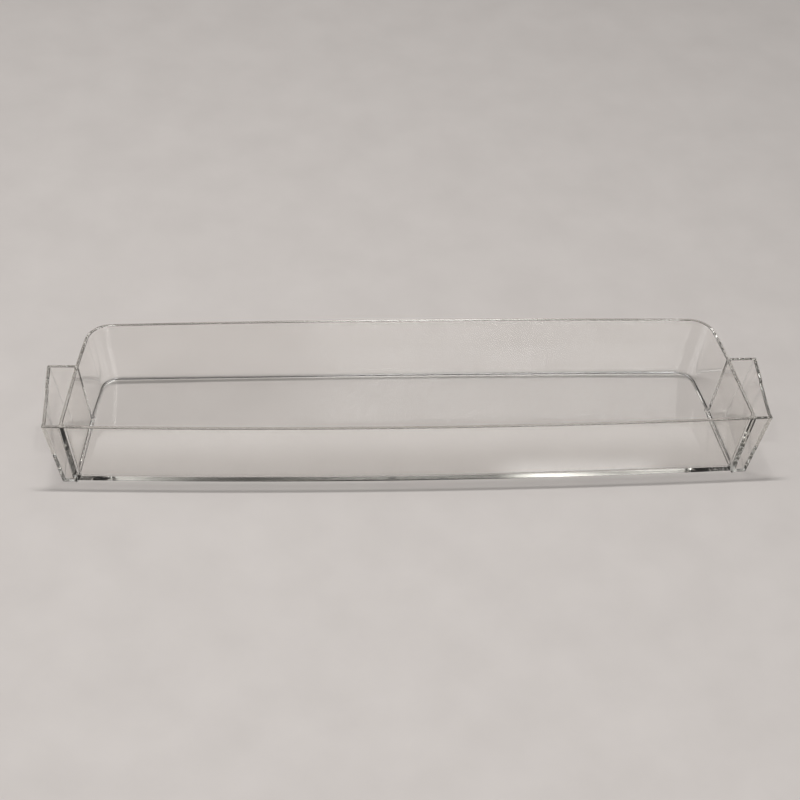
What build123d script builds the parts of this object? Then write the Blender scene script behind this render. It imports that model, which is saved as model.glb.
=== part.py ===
from build123d import *
from math import sqrt
import os

# Bottle shelf for a fridge door, moulded in one piece from clear plastic.
# A long tray, open at the top, with a hollow wedge-shaped bracket at each end.
# The front wall runs across the tray and both brackets in one shallow bow.
# Frame: +X along the shelf, -Y towards the user, +Z up, origin under the middle.

# Driving dimensions in mm; widths and depths are taken at the rim
overall_width = 500.0  # over the outer walls of the two brackets
overall_depth = 112.0  # from the bulge of the front wall to the bulge of the back wall
tray_height = 52.0  # underside of the tray to the rim
bracket_drop = 2.0  # the brackets reach this far below the tray and carry it
wall = 2.4
floor_thickness = 2.2

front_bow = 5.5  # bulge of the front wall over the overall width
back_bow_rim = 2.7  # bulge of the back wall between its corners
back_bow_foot = 0.7

bracket_depth = 62.0  # end of the front wall to the outside of the bracket's back wall
bracket_width_front = 11.0  # outside of the bracket to the outside of the tray, at the front wall
bracket_width_back = 19.5  # the same at the bracket's back wall
back_taper = 7.5  # the tray narrows by this much more at each side, up to its back corners
corner_radius_rim = 18.0
corner_radius_foot = 15.0

# Draft: how far each face leans inwards from the rim to the underside of the tray
side_draft = 7.0
bracket_draft = 10.0
bracket_back_draft = 0.5
front_draft = 1.0
back_draft = 1.0

# Step in the top edge of each bracket's outer wall
step_length = 34.0  # lowered stretch, behind the front wall
step_drop = 1.0

# Edges
bracket_corner_radius = 1.0  # upright outer corners of the brackets
joint_radius = 0.8  # upright inner corner between a bracket's back wall and the tray
pocket_corner_radius = 0.8  # upright corners inside the brackets
tray_corner_radius = 3.5  # upright corners inside the tray, at the front
floor_radius = 3.0  # inside, where the walls rise from the floor
rim_radius = 0.5

rim_z = bracket_drop + tray_height
cavity_z = bracket_drop + floor_thickness
pocket_z = floor_thickness


def bulge_at(x, half_chord, sagitta):
    # how far a shallow arc stands out from its chord, at x from the middle
    radius = (half_chord**2 + sagitta**2) / (2 * sagitta)
    return sqrt(radius**2 - x**2) - (radius - sagitta)


class Level:
    # the corners of the plan at one height, on the right-hand half
    def __init__(self, z):
        lean = (rim_z - z) / tray_height  # 0 at the rim, 1 at the underside of the tray
        self.z = z
        self.bracket_x = overall_width / 2 - bracket_draft * lean
        self.front_y = -overall_depth / 2 + front_bow + front_draft * lean
        self.joint_y = -overall_depth / 2 + front_bow + bracket_depth - bracket_back_draft * lean
        self.back_y = overall_depth / 2 - back_bow_rim - back_draft * lean
        self.front_x = overall_width / 2 - bracket_width_front - side_draft * lean
        self.joint_x = overall_width / 2 - bracket_width_back - side_draft * lean
        self.back_x = self.joint_x - back_taper
        self.front_peak = self.front_y - front_bow
        self.back_peak = self.back_y + back_bow_rim + (back_bow_foot - back_bow_rim) * lean
        self.corner_radius = corner_radius_rim + (corner_radius_foot - corner_radius_rim) * lean

    def front_face_y(self, x):
        return self.front_y - bulge_at(x, self.bracket_x, front_bow)

    def side_face_x(self, y):
        along = (y - self.front_y) / (self.joint_y - self.front_y)
        return self.front_x + (self.joint_x - self.front_x) * along


def back_corners(sketch, level):
    reach = level.back_y - level.corner_radius / 2
    return [v for v in sketch.vertices() if v.Y > reach]


def outer_plan(level):
    # outline of tray and brackets together
    front_end = (level.bracket_x, level.front_y)
    bracket_back = (level.bracket_x, level.joint_y)
    joint = (level.joint_x, level.joint_y)
    back = (level.back_x, level.back_y)
    with BuildSketch(Plane.XY.offset(level.z)) as plan:
        with BuildLine():
            ThreePointArc((-front_end[0], front_end[1]), (0, level.front_peak), front_end)
            Polyline(front_end, bracket_back, joint, back)
            ThreePointArc(back, (0, level.back_peak), (-back[0], back[1]))
            Polyline(*[(-x, y) for x, y in (back, joint, bracket_back, front_end)])
        make_face()
        fillet(back_corners(plan, level), level.corner_radius)
        joints = [v for v in plan.vertices() if abs(abs(v.X) - level.joint_x) < wall / 2]
        fillet([v for v in joints if abs(v.Y - level.joint_y) < wall / 2], joint_radius)
        outer = [v for v in plan.vertices() if abs(v.X) > level.bracket_x - wall / 2]
        fillet(outer, bracket_corner_radius)
    return plan.sketch


def tray_plan(level):
    # outline of the tray alone, drawn in by the wall
    front = (level.front_x, level.front_face_y(level.front_x))
    joint = (level.joint_x, level.joint_y)
    back = (level.back_x, level.back_y)
    with BuildSketch(Plane.XY.offset(level.z)) as plan:
        with BuildLine():
            ThreePointArc((-front[0], front[1]), (0, level.front_peak), front)
            Polyline(front, joint, back)
            ThreePointArc(back, (0, level.back_peak), (-back[0], back[1]))
            Polyline(*[(-x, y) for x, y in (back, joint, front)])
        make_face()
        fillet(back_corners(plan, level), level.corner_radius)
        offset(amount=-wall, kind=Kind.INTERSECTION, mode=Mode.REPLACE)
        fillet(plan.vertices().sort_by(Axis.Y)[:2], tray_corner_radius)
    return plan.sketch


def pocket_plan(level, side):
    # hollow of one bracket: side is 1 for the right-hand end, -1 for the left
    inner_x = level.side_face_x(level.front_y + wall)
    outer_x = level.bracket_x - wall
    back_y = level.joint_y - wall
    corners = (
        (inner_x, level.front_face_y(inner_x) + wall),
        (outer_x, level.front_face_y(outer_x) + wall),
        (outer_x, back_y),
        (level.side_face_x(back_y), back_y),
    )
    with BuildSketch(Plane.XY.offset(level.z)) as plan:
        with BuildLine():
            Polyline(*[(side * x, y) for x, y in corners], close=True)
        make_face()
        fillet(plan.vertices(), pocket_corner_radius)
    return plan.sketch


def level_edges(z):
    return shelf.edges().filter_by_position(Axis.Z, z, z)


rim = Level(rim_z)
underside = Level(bracket_drop)
foot = Level(0)

with BuildPart() as shelf:
    # outer form, from the feet of the brackets to the rim
    loft([outer_plan(foot), outer_plan(rim)], ruled=True)

    # the tray stands clear between the brackets, which keep their inner walls
    relief_joint = foot.joint_y + wall / 2
    relief = (
        (underside.side_face_x(-overall_depth) - wall, -overall_depth),
        (underside.side_face_x(relief_joint) - wall, relief_joint),
        (overall_width, relief_joint),
        (overall_width, overall_depth),
    )
    with BuildSketch() as relief_plan:
        with BuildLine():
            Polyline(*relief, *[(-x, y) for x, y in reversed(relief)], close=True)
        make_face()
    extrude(amount=bracket_drop, mode=Mode.SUBTRACT)

    # inside of the tray
    loft([tray_plan(Level(cavity_z)), tray_plan(rim)], ruled=True, mode=Mode.SUBTRACT)

    # inside of the brackets
    for side in (1, -1):
        loft(
            [pocket_plan(Level(pocket_z), side), pocket_plan(rim, side)],
            ruled=True,
            mode=Mode.SUBTRACT,
        )

    # rounded edges; the tray's outer bottom edge stays crisp
    fillet(level_edges(cavity_z), floor_radius)
    fillet(level_edges(rim_z), rim_radius)

    # the top edge of each bracket's outer wall is lower behind the front wall
    step_front = rim.front_y + wall
    step_x = rim.bracket_x - wall / 2
    with BuildSketch(Plane.XY.offset(rim_z)) as step_plan:
        with Locations((step_x, step_front + step_length / 2), (-step_x, step_front + step_length / 2)):
            Rectangle(2 * wall, step_length)
    extrude(amount=-step_drop, mode=Mode.SUBTRACT)

shelf.part.label = "bottle_shelf"

os.makedirs("parts", exist_ok=True)
export_step(shelf.part, "parts/bottle_shelf.step")
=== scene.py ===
import math

import bpy
import numpy as np
from mathutils import Matrix, Vector
from mathutils.geometry import delaunay_2d_cdt


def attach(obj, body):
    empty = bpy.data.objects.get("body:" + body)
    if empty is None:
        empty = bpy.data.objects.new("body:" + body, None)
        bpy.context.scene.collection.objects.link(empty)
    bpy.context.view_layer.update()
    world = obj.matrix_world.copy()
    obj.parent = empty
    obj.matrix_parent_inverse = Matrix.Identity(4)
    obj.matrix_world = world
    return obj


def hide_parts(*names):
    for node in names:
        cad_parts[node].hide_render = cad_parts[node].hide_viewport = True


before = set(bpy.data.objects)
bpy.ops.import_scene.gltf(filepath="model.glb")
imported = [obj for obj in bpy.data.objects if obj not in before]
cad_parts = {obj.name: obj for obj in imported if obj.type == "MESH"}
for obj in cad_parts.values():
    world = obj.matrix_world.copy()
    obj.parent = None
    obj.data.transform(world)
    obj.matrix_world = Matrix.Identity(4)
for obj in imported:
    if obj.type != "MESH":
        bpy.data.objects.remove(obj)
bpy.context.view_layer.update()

# Clear moulded bottle shelf for a fridge door, on a pale table.
# Plans are worked out in millimetres, meshes are in metres.

mm = 0.001
scene = bpy.context.scene


def linear(r, g, b):
    # a colour given as 0-255 screen values, as the shader's own linear numbers
    c = np.array((r, g, b)) / 255.0
    c = np.where(c <= 0.04045, c / 12.92, ((c + 0.055) / 1.055) ** 2.4)
    return (*(float(v) for v in c), 1.0)


# The moulding

shelf = dict(
    width=500.0,  # over both brackets, at the rim
    depth=112.0,
    trayHeight=52.0,
    drop=2.0,  # the brackets stand this much lower than the tray
    wall=2.4,
    floor=2.2,
    frontBow=5.5,
    backBowRim=2.7,
    backBowFoot=0.7,
    bracketDepth=62.0,
    bracketFront=11.0,  # bracket's width at the front wall
    bracketBack=19.5,  # and at its own back wall
    backTaper=7.5,
    cornerRim=18.0,
    cornerFoot=15.0,
    sideDraft=7.0,
    bracketDraft=10.0,
    bracketBackDraft=0.5,
    frontDraft=1.0,
    backDraft=1.0,
    stepLength=34.0,
    stepDrop=1.0,
    stepRamp=0.7,  # length of the slope at either end of the step
    stepClear=0.2,  # from the corner of the hollow to the step
)

edges = dict(  # radii
    rim=0.5,
    floor=3.0,
    underTray=0.2,
    pocketFloor=0.5,
    foot=0.8,
    bracketCorner=1.0,
    joint=0.8,
    pocketCorner=0.8,
    trayCorner=3.5,
    sideBend=40.0,
    runOut=2.5,  # length over which the roundings under the tray and the feet fade where they meet
)

steps = dict(  # how finely the surfaces are cut
    arc=7,
    bigArc=28,
    smallArc=8,
    front=120,
    frontEnd=6,
    back=110,
    side=14,
    bracket=10,
    bend=4,
    pocketFront=4,
    pocketBack=8,
    wallRows=6,
    cornerMarks=(1.6, 2.2),  # first points of a bracket's outer run, in mm from the front line
    backMargin=2.0,  # from its last point to the hollow's back wall
)

rimZ = shelf["drop"] + shelf["trayHeight"]
trayFloorZ = shelf["drop"] + shelf["floor"]
pocketFloorZ = shelf["floor"]


def levelAt(z):
    # corners of the plan at height z: each leans in by its draft, in proportion to the depth below the rim
    lean = (rimZ - z) / shelf["trayHeight"]
    half = shelf["width"] / 2
    frontLine = -shelf["depth"] / 2 + shelf["frontBow"]
    jointX = half - shelf["bracketBack"] - shelf["sideDraft"] * lean
    return dict(
        z=z,
        bracketX=half - shelf["bracketDraft"] * lean,
        frontY=frontLine + shelf["frontDraft"] * lean,
        jointY=frontLine + shelf["bracketDepth"] - shelf["bracketBackDraft"] * lean,
        backY=shelf["depth"] / 2 - shelf["backBowRim"] - shelf["backDraft"] * lean,
        frontX=half - shelf["bracketFront"] - shelf["sideDraft"] * lean,
        jointX=jointX,
        backX=jointX - shelf["backTaper"],
        backBow=shelf["backBowRim"] + (shelf["backBowFoot"] - shelf["backBowRim"]) * lean,
        corner=shelf["cornerRim"] + (shelf["cornerFoot"] - shelf["cornerRim"]) * lean,
    )


def sideX(level, y):
    # outside of the tray's side wall beside the bracket, a straight line from front to joint
    along = (y - level["frontY"]) / (level["jointY"] - level["frontY"])
    return level["frontX"] + (level["jointX"] - level["frontX"]) * along


def evenly(count):
    # inner points of a run cut into count equal pieces
    return np.linspace(0, 1, count + 1)[1:-1]


def roundedLoop(corners, radii, arcSteps, stations):
    # closed counter-clockwise loop: straight runs, and at each corner an arc, centre + r * (cos a, sin a)
    # stations holds, for the run after each corner, the shares of its length where it gets a point
    pts = np.array(corners, float)
    along = np.roll(pts, -1, 0) - pts
    along /= np.linalg.norm(along, axis=1)[:, None]
    before = np.roll(along, 1, 0)
    turn = np.arctan2(
        before[:, 0] * along[:, 1] - before[:, 1] * along[:, 0],
        (before * along).sum(1),
    )
    radius = np.array(radii, float) * np.sign(turn)
    reach = (radius * np.tan(turn / 2))[:, None]
    arcStart, arcEnd = pts - before * reach, pts + along * reach
    points, normals = [], []
    for i in range(len(pts)):
        a = np.linspace(0, 1, arcSteps[i] + 1) * turn[i]
        out = np.array((before[i, 1], -before[i, 0]))
        n = np.stack((out[0] * np.cos(a) - out[1] * np.sin(a), out[0] * np.sin(a) + out[1] * np.cos(a)), 1)
        points.append(arcStart[i] + (n - out) * radius[i])
        normals.append(n)
        share = np.asarray(stations[i])[:, None]
        points.append(arcEnd[i] + (np.roll(arcStart, -1, 0)[i] - arcEnd[i]) * share)
        normals.append(np.repeat([(along[i, 1], -along[i, 0])], len(share), 0))
    return np.concatenate(points), np.concatenate(normals)


def bulge(x, half, sagitta):
    # height and slope of a shallow arc over its chord: sqrt(R^2 - x^2) - (R - sagitta)
    radius = (half**2 + sagitta**2) / (2 * sagitta)
    root = np.sqrt(radius**2 - np.clip(x, -half, half) ** 2)
    return root - (radius - sagitta), -x / root


def bowed(loop, level, plateau=10.0):
    # pushes the front run forward and the back run back along their arcs:
    # y' = y - front(x) w(y) + back(x) (1 - w(y)), where w falls from 1 to 0 between the two walls
    # normals turn with the inverse transpose of that map
    (x, y), (nx, ny) = loop[0].T, loop[1].T
    run = level["backY"] - level["frontY"] - 2 * plateau
    front = np.clip((level["backY"] - plateau - y) / run, 0, 1)
    back = 1 - front
    frontRise, frontSlope = bulge(x, level["bracketX"], shelf["frontBow"])
    backRise, backSlope = bulge(x, level["backX"], level["backBow"])
    slope = -frontSlope * front + backSlope * back
    points = np.stack((x, y - frontRise * front + backRise * back), 1)
    normals = np.stack((nx - slope * ny, ny), 1)
    return points, normals / np.linalg.norm(normals, axis=1)[:, None]


def inset(corners, amount):
    # moves every side of a counter-clockwise polygon inwards and meets the sides again
    pts = np.array(corners, float)
    along = np.roll(pts, -1, 0) - pts
    along /= np.linalg.norm(along, axis=1)[:, None]
    inward = np.stack((-along[:, 1], along[:, 0]), 1)
    before = np.roll(inward, 1, 0)
    middle = (before + inward) / (1 + (before * inward).sum(1))[:, None]
    return pts + middle * amount


underside = levelAt(shelf["drop"])
reliefX = underside["frontX"] - shelf["wall"]  # where the tray's underside meets a foot, at the front wall
reliefJoint = levelAt(0)["jointY"] + shelf["wall"] / 2  # and behind the bracket


# shares of the front run: the stretch before a foot, the tray, the stretch along the other foot
frontShare = 0.5 - 0.5 * reliefX / (underside["bracketX"] - edges["bracketCorner"])
frontStations = np.concatenate(
    (
        frontShare * np.linspace(0, 1, steps["frontEnd"] + 1)[1:],
        frontShare + (1 - 2 * frontShare) * np.linspace(0, 1, steps["front"] + 1)[1:],
        1 - frontShare * np.linspace(1, 0, steps["frontEnd"] + 1)[1:-1],
    )
)
footShare = 0.02  # share of the side run behind a bracket that its foot still carries

# shares of a bracket's outer run, with points where its top edge steps down and up
stepFrom = shelf["wall"] + edges["pocketCorner"] + shelf["stepClear"]
stepTo = stepFrom + shelf["stepLength"]


def stepAt(y):
    # how much lower the bracket's top edge is, y from the rim's front line
    ramp = shelf["stepRamp"]
    return shelf["stepDrop"] * np.clip(np.minimum((y - stepFrom) / ramp, (stepTo - y) / ramp), 0, 1)


stepMarks = np.array([stepFrom, stepFrom + shelf["stepRamp"], stepTo - shelf["stepRamp"], stepTo])
outerEnd = shelf["bracketDepth"] - shelf["wall"] - steps["backMargin"]
outerMarks = np.concatenate(
    (
        steps["cornerMarks"],
        stepMarks[:1],
        np.linspace(stepMarks[1], stepMarks[2], steps["bracket"]),
        np.linspace(stepMarks[3], outerEnd, steps["bracket"]),
    )
)
stepStations = (outerMarks - edges["bracketCorner"]) / (shelf["bracketDepth"] - 2 * edges["bracketCorner"])


def outerLoop(z):
    # tray and brackets together
    lv = levelAt(z)
    right = [
        (lv["bracketX"], lv["frontY"]),
        (lv["bracketX"], lv["jointY"]),
        (lv["jointX"], lv["jointY"]),
        (lv["backX"], lv["backY"]),
    ]
    left = [(-x, y) for x, y in right]
    corners = [left[0], *right, left[3], left[2], left[1]]
    r = edges
    radii = [r["bracketCorner"], r["bracketCorner"], r["bracketCorner"], r["joint"]]
    radii += [lv["corner"], lv["corner"], r["joint"], r["bracketCorner"]]
    small, big = steps["smallArc"], steps["bigArc"]
    run = evenly(steps["side"])
    sideRun = np.concatenate(([footShare], footShare + (1 - footShare) * run))
    stations = [
        frontStations,
        stepStations,
        evenly(steps["bracket"]),
        sideRun,
        evenly(steps["back"]),
        1 - sideRun[::-1],
        evenly(steps["bracket"]),
        1 - stepStations[::-1],
    ]
    return bowed(roundedLoop(corners, radii, [small] * 4 + [big] * 2 + [small] * 2, stations), lv)


def trayLoop(z):
    # inside of the tray
    lv = levelAt(z)
    right = [(lv["frontX"], lv["frontY"]), (lv["jointX"], lv["jointY"]), (lv["backX"], lv["backY"])]
    left = [(-x, y) for x, y in right]
    corners = inset([left[0], *right, left[2], left[1]], shelf["wall"])
    back = lv["corner"] - shelf["wall"]
    radii = [edges["trayCorner"]] * 2 + [edges["sideBend"], back, back, edges["sideBend"]]
    small, big, bend = steps["smallArc"], steps["bigArc"], steps["bend"]
    side = evenly(steps["side"])
    stations = [evenly(steps["front"]), side, side, evenly(steps["back"]), side, side]
    return bowed(roundedLoop(corners, radii, [small, small, bend, big, big, bend], stations), lv)


def pocketLoop(z, hand):
    # hollow of one bracket, hand is 1 at the right-hand end and -1 at the left
    lv, wall = levelAt(z), shelf["wall"]
    frontY, backY = lv["frontY"] + wall, lv["jointY"] - wall
    outerX = lv["bracketX"] - wall
    corners = [(sideX(lv, frontY), frontY), (outerX, frontY), (outerX, backY), (sideX(lv, backY), backY)]
    inner = (outerMarks[len(steps["cornerMarks"]):] - wall - edges["pocketCorner"]) / (
        shelf["bracketDepth"] - 2 * wall - 2 * edges["pocketCorner"]
    )
    stations = [evenly(steps["pocketFront"]), inner, evenly(steps["pocketBack"]), evenly(steps["side"])]
    if hand < 0:
        corners = [(-x, y) for x, y in (corners[1], corners[0], corners[3], corners[2])]
        stations = [stations[0], stations[3], stations[2], 1 - inner[::-1]]
    radii = [edges["pocketCorner"]] * 4
    return bowed(roundedLoop(corners, radii, [steps["smallArc"]] * 4, stations), lv)


class Wall:
    # a drafted wall ruled between two like loops: P(s, z) = low + (high - low) * (z - zLow) / (zHigh - zLow)
    # solid is 1 where the plastic lies inside the loop, -1 where it lies around a hollow
    def __init__(self, loop, zLow, solid):
        self.low, self.lowNormal = loop(zLow)
        self.high, self.highNormal = loop(rimZ)
        self.zLow, self.solid = zLow, solid
        spread = ((self.high - self.low) * self.highNormal).sum(1)
        self.lean = spread / (rimZ - zLow)  # outward move for each mm of height
        self.tilt = np.arctan(self.lean)

    def columns(self, keep):
        # the same wall, with only some of its columns
        part = object.__new__(Wall)
        part.__dict__.update(self.__dict__)
        for name in ("low", "lowNormal", "high", "highNormal", "lean", "tilt"):
            setattr(part, name, getattr(self, name)[keep])
        return part

    def place(self, z, out):
        # points at heights z, moved by out along the plan's outward normal: arrays of rows by columns
        share = ((z - self.zLow) / (rimZ - self.zLow))[..., None]
        normal = self.lowNormal + (self.highNormal - self.lowNormal) * share
        normal = normal / np.linalg.norm(normal, axis=-1, keepdims=True)
        plan = self.low + (self.high - self.low) * share + normal * out[..., None]
        return np.concatenate((plan, z[..., None]), -1), normal

    def sheet(self, zFrom, zTo, rows):
        # straight part of the wall between two heights, which may vary along it
        u = np.linspace(0, 1, rows + 1)[:, None]
        z = zFrom + (zTo - zFrom) * u
        points, normal = self.place(z, np.zeros_like(z))
        up = np.broadcast_to(-np.sin(self.tilt), z.shape)[..., None]
        facing = np.concatenate((normal * np.cos(self.tilt)[:, None], up), -1) * self.solid
        return points, facing

    def rounding(self, zEnd, radius, fromAngle, toAngle, centreOut, convex):
        # quarter round between the wall and a level face: centre + radius * (cos a, sin a)
        # centreOut is 1 where the centre lies outside the wall's line, -1 where it lies inside
        rising = zEnd + (-radius if toAngle > 0 else radius)
        touch = rising + centreOut * radius * np.sin(self.tilt)  # height where the arc leaves the wall
        a = fromAngle + (toAngle - fromAngle) * np.linspace(0, 1, steps["arc"] + 1)[:, None]
        z = rising + radius * np.sin(a)
        lineOut = (z - touch) * self.lean  # the wall's own line at that height
        arcOut = centreOut * radius * np.cos(self.tilt) + radius * np.cos(a)
        points, normal = self.place(z, arcOut - lineOut)
        facing = np.concatenate((normal * np.cos(a)[..., None], np.sin(a)[..., None]), -1)
        return points, facing * convex, touch

    def rimRound(self, zTop, radius):
        half = math.pi / 2
        if self.solid > 0:
            return self.rounding(zTop, radius, -self.tilt, half, -1, 1)
        return self.rounding(zTop, radius, math.pi - self.tilt, half, 1, 1)

    def footRound(self, zBottom, radius):
        # under a solid, or in the bottom of a hollow, where the same arc is seen from its other side
        return self.rounding(zBottom, radius, -self.tilt, -math.pi / 2, -1, self.solid)


class Skin:
    # collects surfaces and welds them into one closed mesh with its own corner normals
    def __init__(self):
        self.points, self.faces, self.facing, self.count = [], [], [], 0

    def add(self, points, faces, facing):
        # faces hold four corners, a triangle repeats its last
        self.points.append(points)
        self.faces.append(faces + self.count)
        self.facing.append(facing)
        self.count += len(points)

    def grid(self, points, facing, closed):
        # rows by columns of points, joined by quads; turned so that the quads face as the normals do
        rows, cols = points.shape[:2]
        index = np.arange(rows * cols).reshape(rows, cols)
        if closed:
            index = np.concatenate((index, index[:, :1]), 1)
        quads = np.stack((index[:-1, :-1], index[:-1, 1:], index[1:, 1:], index[1:, :-1]), -1).reshape(-1, 4)
        flat, n = points.reshape(-1, 3), facing.reshape(-1, 3)
        across = np.cross(flat[quads[:, 2]] - flat[quads[:, 0]], flat[quads[:, 3]] - flat[quads[:, 1]])
        if (across * n[quads].sum(1)).sum() < 0:
            quads = quads[:, ::-1]
        self.add(flat, quads, n[quads])

    def level(self, outline, holes, up):
        # flat region between rings, cut into triangles; points keep their own heights
        rings = [outline, *holes]
        points = np.concatenate(rings)
        ends = np.cumsum([len(r) for r in rings])
        borders = []
        for ring, end in zip(rings, ends):
            i = np.arange(end - len(ring), end)
            borders.append(np.stack((i, np.roll(i, -1)), 1))
        borders = np.concatenate(borders)
        cut = delaunay_2d_cdt([tuple(p) for p in points[:, :2]], borders.tolist(), [], 1, 1e-7)
        origin = np.array([o[0] for o in cut[3]])
        tris = origin[np.array(cut[2])]
        middle = points[tris].mean(1)[:, :2]
        keep = insideRing(middle, outline[:, :2])
        for hole in holes:
            keep &= ~insideRing(middle, hole[:, :2])
        tris = tris[keep]
        across = np.cross(points[tris[:, 1]] - points[tris[:, 0]], points[tris[:, 2]] - points[tris[:, 0]])
        wrong = across[:, 2] * up < 0
        tris[wrong] = tris[wrong][:, ::-1]
        across[wrong] *= -1
        across /= np.linalg.norm(across, axis=1)[:, None]
        quads = np.concatenate((tris, tris[:, 2:]), 1)
        self.add(points, quads, np.repeat(across[:, None], 4, 1))

    def object(self, name):
        points = np.concatenate(self.points)
        faces, facing = np.concatenate(self.faces), np.concatenate(self.facing)
        _, first, index = np.unique(np.round(points, 5), axis=0, return_index=True, return_inverse=True)
        faces = index.reshape(-1)[faces]
        kept = faces != np.roll(faces, 1, 1)  # a corner that repeats its neighbour is dropped
        whole = kept.sum(1) > 2
        faces, facing, kept = faces[whole], facing[whole], kept[whole]
        loops, normals, sizes = faces[kept], facing[kept], kept.sum(1)
        mesh = bpy.data.meshes.new(name)
        mesh.vertices.add(len(first))
        mesh.vertices.foreach_set("co", (points[first] * mm).astype(np.float32).ravel())
        mesh.loops.add(len(loops))
        mesh.loops.foreach_set("vertex_index", loops.astype(np.int32))
        mesh.polygons.add(len(sizes))
        mesh.polygons.foreach_set("loop_start", np.concatenate(([0], np.cumsum(sizes)[:-1])).astype(np.int32))
        mesh.polygons.foreach_set("use_smooth", np.ones(len(sizes), bool))
        mesh.update(calc_edges=True)
        mesh.normals_split_custom_set(normals / np.linalg.norm(normals, axis=1)[:, None])
        piece = bpy.data.objects.new(name, mesh)
        scene.collection.objects.link(piece)
        return piece


def insideRing(points, ring):
    # even-odd rule: how often a ray along +X crosses the ring
    x, y = points.T[:, :, None]
    (ax, ay), (bx, by) = ring.T, np.roll(ring, -1, 0).T
    crosses = (ay > y) != (by > y)
    at = ax + (y - ay) * (bx - ax) / np.where(by == ay, 1, by - ay)
    return (crosses & (x < at)).sum(1) % 2 == 1


def shelfSkin():
    skin = Skin()
    frontLine = levelAt(rimZ)["frontY"]

    # outside, from the tray's underside to the rim
    outer = Wall(outerLoop, 0.0, 1)
    onBracket = np.abs(outer.high[:, 0]) > levelAt(rimZ)["bracketX"] - shelf["wall"] / 2
    outerTop = rimZ - np.where(onBracket, stepAt(outer.high[:, 1] - frontLine), 0)
    rimBand, rimFacing, rimTouch = outer.rimRound(outerTop, np.full(len(outerTop), edges["rim"]))
    count = len(outerTop)

    # columns where the tray's underside gives way to a foot: two on the front run, one on each side run
    small = steps["smallArc"] + 1
    frontLeft = small + steps["frontEnd"] - 1
    frontRight = frontLeft + steps["front"]
    sideRight = small + len(frontStations) + small + len(stepStations) + small + steps["bracket"] - 1 + small
    sideLeft = count - len(stepStations) - small - (steps["bracket"] - 1) - small - 1
    trayFront = np.arange(frontLeft, frontRight + 1)
    trayBack = np.arange(sideRight, sideLeft + 1)
    footRight = np.arange(frontRight, sideRight + 1)
    footLeft = np.concatenate((np.arange(sideLeft, count), np.arange(0, frontLeft + 1)))

    def fading(columns, radius):
        # the rounding's radius along a stretch, running out to nothing at both ends
        plan = outer.low[columns]
        length = np.concatenate(([0], np.cumsum(np.linalg.norm(np.diff(plan, axis=0), axis=1))))
        near = np.minimum(length, length[-1] - length) / edges["runOut"]
        return radius * np.sin(np.clip(near, 0, 1) * math.pi / 2)

    lowTouch = np.full(count, shelf["drop"])
    undersideRing = {}
    for name, columns in (("front", trayFront), ("back", trayBack)):
        part = outer.columns(columns)
        radius = fading(columns, edges["underTray"])
        band, facing, touch = part.footRound(np.full(len(columns), shelf["drop"]), radius)
        skin.grid(band, facing, False)
        lowTouch[columns] = touch
        undersideRing[name] = band[-1]
    points, facing = outer.sheet(lowTouch, rimTouch, steps["wallRows"])
    skin.grid(points, facing, True)
    skin.grid(rimBand, rimFacing, True)

    # feet under the brackets
    footCorner = {}
    for hand, columns in ((1, footRight), (-1, footLeft)):
        part = outer.columns(columns)
        band, facing, touch = part.footRound(np.zeros(len(columns)), fading(columns, edges["foot"]))
        skin.grid(band, facing, False)
        points, facing = part.sheet(touch, np.full(len(columns), shelf["drop"]), 1)
        skin.grid(points, facing, False)
        inner = np.array((hand * (sideX(underside, reliefJoint) - shelf["wall"]), reliefJoint))
        low, high = np.append(inner, 0.0), np.append(inner, shelf["drop"])
        footCorner[hand] = high
        skin.level(np.concatenate((band[-1], [low])), [], -1)
        for end in (0, -1):
            corners = np.array([[band[-1][end], low], [points[-1][end], high]])
            across = np.cross(corners[0, 1] - corners[0, 0], (0, 0, 1.0))
            across *= -np.sign(across[0]) * hand if abs(across[0]) > abs(across[1]) else np.sign(across[1])
            skin.grid(corners, np.broadcast_to(across / np.linalg.norm(across), (2, 2, 3)), False)
    ring = (undersideRing["front"], [footCorner[1]], undersideRing["back"], [footCorner[-1]])
    skin.level(np.concatenate(ring), [], -1)

    # inside of the tray and of the brackets
    rings = []
    tray = Wall(trayLoop, trayFloorZ, -1)
    hollows = [(tray, trayFloorZ, edges["floor"])]
    for hand in (1, -1):
        pocket = Wall(lambda z, hand=hand: pocketLoop(z, hand), pocketFloorZ, -1)
        hollows.append((pocket, pocketFloorZ, edges["pocketFloor"]))
    for hollow, bottom, radius in hollows:
        size = len(hollow.high)
        top = np.full(size, rimZ)
        if hollow is not tray:
            outside = np.abs(hollow.high[:, 0]) > levelAt(rimZ)["bracketX"] - 1.5 * shelf["wall"]
            top = rimZ - np.where(outside, stepAt(hollow.high[:, 1] - frontLine), 0)
        upper, upperFacing, upperTouch = hollow.rimRound(top, np.full(size, edges["rim"]))
        lower, lowerFacing, lowerTouch = hollow.footRound(np.full(size, bottom), np.full(size, radius))
        points, facing = hollow.sheet(lowerTouch, upperTouch, steps["wallRows"])
        skin.grid(upper, upperFacing, True)
        skin.grid(lower, lowerFacing, True)
        skin.grid(points, facing, True)
        skin.level(lower[-1], [], 1)
        rings.append(upper[-1])
    skin.level(rimBand[-1], rings, 1)
    return skin


moulding = shelfSkin().object("clear_moulding")
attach(moulding, "root")
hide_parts("bottle_shelf")
print("moulding:", len(moulding.data.vertices), "points,", len(moulding.data.polygons), "faces")


# Clear plastic

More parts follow.
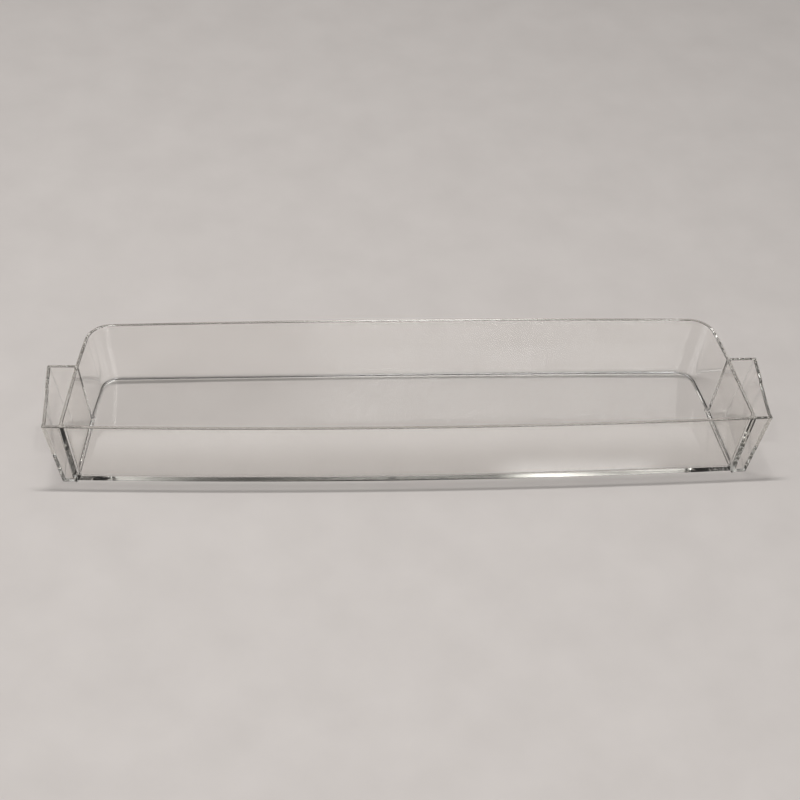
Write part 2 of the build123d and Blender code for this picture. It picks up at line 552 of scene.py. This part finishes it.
plastic = dict(
    tint=(0.97, 0.963, 0.953, 1.0),
    ior=1.57,
    roughness=0.012,
    handled=0.02,  # roughness where hands have dulled the polish
    handledScale=28.0,
    handledFrom=(0.5, 0.72),  # noise levels between which a patch sets in
    hairline=0.015,
    hairlineScale=90.0,
    hairlineStretch=(0.06, 9.0, 9.0),
    hairlineFrom=(0.66, 0.74),
    wave=0.012,  # heights of the unevenness, in mm
    waveScale=16.0,
    ripple=0.0003,
    rippleScale=140.0,
    gate=(-8.0, 9.0, 4.2),
    gateRadius=1.4,  # of the inner ring, the whole mark is twice as wide
    gateRise=0.12,
    gateEdge=1.9,
    passed=0.995,  # share of the light that one face lets through, met head on
    grazingPower=7.0,  # how late that falls off towards flat angles
    rimPassed=0.05,  # the same on the rim, where light stays in the wall
    bodyColour=(0.955, 0.953, 0.945, 1.0),  # what long paths through the plastic take on
    bodyDensity=75.0,
)


def clearPlastic():
    material = bpy.data.materials.new("clear_plastic")
    material.use_nodes = True
    tree = material.node_tree
    tree.nodes.clear()
    out = tree.nodes.new("ShaderNodeOutputMaterial")
    shader = tree.nodes.new("ShaderNodeBsdfPrincipled")
    shader.inputs["Base Color"].default_value = plastic["tint"]
    shader.inputs["IOR"].default_value = plastic["ior"]
    shader.inputs["Roughness"].default_value = plastic["roughness"]
    shader.inputs["Transmission Weight"].default_value = 1.0
    place = tree.nodes.new("ShaderNodeTexCoord").outputs["Object"]

    def noise(scale, detail, stretch=None):
        # cloudy values over the object's own coordinates, drawn out along x where stretch is given
        texture = tree.nodes.new("ShaderNodeTexNoise")
        texture.inputs["Scale"].default_value = scale
        texture.inputs["Detail"].default_value = detail
        source = place
        if stretch:
            mapping = tree.nodes.new("ShaderNodeMapping")
            mapping.inputs["Scale"].default_value = stretch
            tree.links.new(source, mapping.inputs["Vector"])
            source = mapping.outputs[0]
        tree.links.new(source, texture.inputs["Vector"])
        return texture.outputs[0]

    def ranged(value, low, high, toLow, toHigh):
        node = tree.nodes.new("ShaderNodeMapRange")
        for socket, number in zip(("From Min", "From Max", "To Min", "To Max"), (low, high, toLow, toHigh)):
            node.inputs[socket].default_value = number
        tree.links.new(value, node.inputs["Value"])
        return node.outputs[0]

    def combined(operation, first, second):
        # second is a socket or a number
        node = tree.nodes.new("ShaderNodeMath")
        node.operation = operation
        tree.links.new(first, node.inputs[0])
        if isinstance(second, float):
            node.inputs[1].default_value = second
        else:
            tree.links.new(second, node.inputs[1])
        return node.outputs[0]

    # polish: mostly bright, duller in patches where it has been handled, with fine hairlines along the tray
    patches = noise(plastic["handledScale"], 3.0)
    handled = ranged(patches, *plastic["handledFrom"], plastic["roughness"], plastic["handled"])
    streaks = noise(plastic["hairlineScale"], 2.0, plastic["hairlineStretch"])
    hairlines = ranged(streaks, *plastic["hairlineFrom"], 0.0, plastic["hairline"])
    tree.links.new(combined("ADD", handled, hairlines), shader.inputs["Roughness"])

    # the mould leaves the faces a little wavy, and a round gate mark in the floor
    broad = ranged(noise(plastic["waveScale"], 1.0), 0.0, 1.0, 0.0, plastic["wave"] * mm)
    fine = ranged(noise(plastic["rippleScale"], 2.0), 0.0, 1.0, 0.0, plastic["ripple"] * mm)
    gateRadius = plastic["gateRadius"] * mm
    reach = tree.nodes.new("ShaderNodeVectorMath")
    reach.operation = "DISTANCE"
    reach.inputs[1].default_value = [v * mm for v in plastic["gate"]]
    tree.links.new(place, reach.inputs[0])
    distance = reach.outputs["Value"]
    ring = combined("PINGPONG", distance, gateRadius)
    inGate = ranged(distance, 2 * gateRadius, plastic["gateEdge"] * gateRadius, 0.0, 1.0)
    gate = combined("MULTIPLY", ranged(ring, 0.0, gateRadius, 0.0, plastic["gateRise"] * mm), inGate)
    bump = tree.nodes.new("ShaderNodeBump")
    bump.inputs["Strength"].default_value = 1.0
    bump.inputs["Distance"].default_value = 1.0
    tree.links.new(combined("ADD", combined("ADD", broad, fine), gate), bump.inputs["Height"])
    tree.links.new(bump.outputs[0], shader.inputs["Normal"])

    # lamps shine on the table through the walls, less so where they meet a wall at a flat angle
    weight = tree.nodes.new("ShaderNodeLayerWeight")
    weight.inputs["Blend"].default_value = 0.5
    grazing = combined("POWER", weight.outputs["Facing"], plastic["grazingPower"])
    passed = ranged(grazing, 0.0, 1.0, plastic["passed"], 0.0)
    split = tree.nodes.new("ShaderNodeSeparateXYZ")
    tree.links.new(place, split.inputs[0])
    rimFrom, rimTo = (rimZ - 2 * edges["rim"]) * mm, (rimZ - edges["rim"]) * mm
    rimEdge = ranged(split.outputs["Z"], rimFrom, rimTo, 1.0, plastic["rimPassed"])
    through = tree.nodes.new("ShaderNodeBsdfTransparent")
    tree.links.new(combined("MULTIPLY", passed, rimEdge), through.inputs["Color"])
    path = tree.nodes.new("ShaderNodeLightPath")
    mix = tree.nodes.new("ShaderNodeMixShader")
    lit = combined("MAXIMUM", path.outputs["Is Shadow Ray"], path.outputs["Is Diffuse Ray"])
    tree.links.new(lit, mix.inputs["Fac"])
    tree.links.new(shader.outputs[0], mix.inputs[1])
    tree.links.new(through.outputs[0], mix.inputs[2])
    tree.links.new(mix.outputs[0], out.inputs["Surface"])

    body = tree.nodes.new("ShaderNodeVolumeAbsorption")
    body.inputs["Color"].default_value = plastic["bodyColour"]
    body.inputs["Density"].default_value = plastic["bodyDensity"]
    tree.links.new(body.outputs[0], out.inputs["Volume"])
    return material


moulding.data.materials.append(clearPlastic())
print("plastic: clear, with handled patches, hairlines and a gate mark")


# Table

table = dict(
    size=12.0,
    gap=0.00006,  # below the feet
    dark=linear(199, 193, 189),
    light=linear(204, 198, 194),
    cloudScale=24.0,
    cloudDetail=4.0,
    cloudFrom=(0.3, 0.7),
    roughness=0.7,
    shine=0.2,
)


def tableTop():
    half, z = table["size"] / 2, -table["gap"]
    mesh = bpy.data.meshes.new("table_top")
    corners = [(-half, -half, z), (half, -half, z), (half, half, z), (-half, half, z)]
    mesh.from_pydata(corners, [], [(0, 1, 2, 3)])
    mesh.update()
    top = bpy.data.objects.new("table_top", mesh)
    scene.collection.objects.link(top)
    material = bpy.data.materials.new("pale_table")
    material.use_nodes = True
    tree = material.node_tree
    shader = tree.nodes["Principled BSDF"]
    place = tree.nodes.new("ShaderNodeTexCoord")
    cloud = tree.nodes.new("ShaderNodeTexNoise")
    cloud.inputs["Scale"].default_value = table["cloudScale"]
    cloud.inputs["Detail"].default_value = table["cloudDetail"]
    tone = tree.nodes.new("ShaderNodeValToRGB")
    for element, position, name in zip(tone.color_ramp.elements, table["cloudFrom"], ("dark", "light")):
        element.position, element.color = position, table[name]
    tree.links.new(place.outputs["Object"], cloud.inputs["Vector"])
    tree.links.new(cloud.outputs[0], tone.inputs[0])
    tree.links.new(tone.outputs[0], shader.inputs["Base Color"])
    shader.inputs["Roughness"].default_value = table["roughness"]
    shader.inputs["Specular IOR Level"].default_value = table["shine"]
    mesh.materials.append(material)


tableTop()
print("table: pale and plain")


# Light

studio = dict(
    dome=0.12,
    domeColour=(1.0, 0.98, 0.96, 1.0),
    strip=dict(place=(-0.12, 0.165, 1.6), aim=(-0.12, 0, 0), size=(0.55, 0.035), power=11.4),
    left=dict(place=(-1.5, -0.2, 1.2), aim=(0, 0, 0), size=(1.3, 1.1), power=13.8),
    right=dict(place=(1.5, -0.3, 1.0), aim=(0, 0, 0), size=(1.3, 0.9), power=5.0),
    window=dict(
        place=(0.235, -1.07, 1.04), aim=(0.235, 0, 0), size=(0.65, 0.7), power=6.4,
        fade=(("X", 0.0, 0.26),),
    ),
    band=dict(
        place=(0, 1.75, 1.785), aim=(0, -0.02, 0), size=(2.4, 0.074), power=0.61,
        fade=(("Y", 1.0, 0.15),),
    ),
    behind=dict(
        place=(0.53, 1.679, 1.856), aim=(0.53, -0.05, 0), size=(0.4, 0.175), power=0.54,
        fade=(("X", 1.0, 0.75), ("X", 0.0, 0.25), ("Y", 0.0, 0.3)),
    ),
)


def softLamp(name, place, aim, size, power, fade=()):
    # fade lists soft ends: a direction of the lamp, and the shares of its length where it is dark and full
    data = bpy.data.lights.new(name, "AREA")
    data.shape = "RECTANGLE"
    data.size, data.size_y = size
    data.energy = power
    lamp = bpy.data.objects.new(name, data)
    scene.collection.objects.link(lamp)
    to = Vector(aim) - Vector(place)
    lamp.matrix_world = Matrix.Translation(place) @ to.to_track_quat("-Z", "Y").to_matrix().to_4x4()
    lamp.visible_camera = False
    if fade:  # each end takes its full strength from the one before
        data.use_nodes = True
        tree = data.node_tree
        across = tree.nodes.new("ShaderNodeNewGeometry")
        split = tree.nodes.new("ShaderNodeSeparateXYZ")
        tree.links.new(across.outputs["Parametric"], split.inputs[0])
        strength = tree.nodes["Emission"].inputs["Strength"]
        for axis, dark, full in fade:
            rise = tree.nodes.new("ShaderNodeMapRange")
            rise.interpolation_type = "SMOOTHSTEP"
            rise.inputs["From Min"].default_value = dark
            rise.inputs["From Max"].default_value = full
            tree.links.new(split.outputs[axis], rise.inputs["Value"])
            if strength.is_linked:
                tree.links.new(strength.links[0].from_socket, rise.inputs["To Max"])
            tree.links.new(rise.outputs[0], strength)


for lampName in ("strip", "left", "right", "window", "band", "behind"):
    softLamp(lampName, **studio[lampName])

world = bpy.data.worlds.new("studio")
world.use_nodes = True
dome = world.node_tree.nodes["Background"]
dome.inputs["Color"].default_value = studio["domeColour"]
dome.inputs["Strength"].default_value = studio["dome"]
scene.world = world
print("light: six soft lamps and a dim dome")


# Camera

view = dict(
    place=(-104.60, -1019.21, 1005.23),
    turn=-5.641,  # degrees to the right of the shelf's own axis
    down=43.681,
    roll=3.211,
    lens=90.0,
    sensor=36.0,
    farthest=50.0,
)

cameraData = bpy.data.cameras.new("camera")
cameraData.sensor_width = view["sensor"]
cameraData.lens = view["lens"]
cameraData.clip_end = view["farthest"]
camera = bpy.data.objects.new("camera", cameraData)
scene.collection.objects.link(camera)
camera.matrix_world = (
    Matrix.Translation([v * mm for v in view["place"]])
    @ Matrix.Rotation(math.radians(view["turn"]), 4, "Z")
    @ Matrix.Rotation(math.radians(90 - view["down"]), 4, "X")
    @ Matrix.Rotation(math.radians(view["roll"]), 4, "Z")
)
scene.camera = camera
print("camera: placed")

scene.view_settings.view_transform = "Standard"
# enough bounces for light that stays in the walls, and a limit on single bright samples
scene.cycles.max_bounces = 32
scene.cycles.transmission_bounces = 32
scene.cycles.glossy_bounces = 24
scene.cycles.diffuse_bounces = 4
scene.cycles.blur_glossy = 0.0
scene.cycles.sample_clamp_direct = 5.0
scene.cycles.sample_clamp_indirect = 5.0
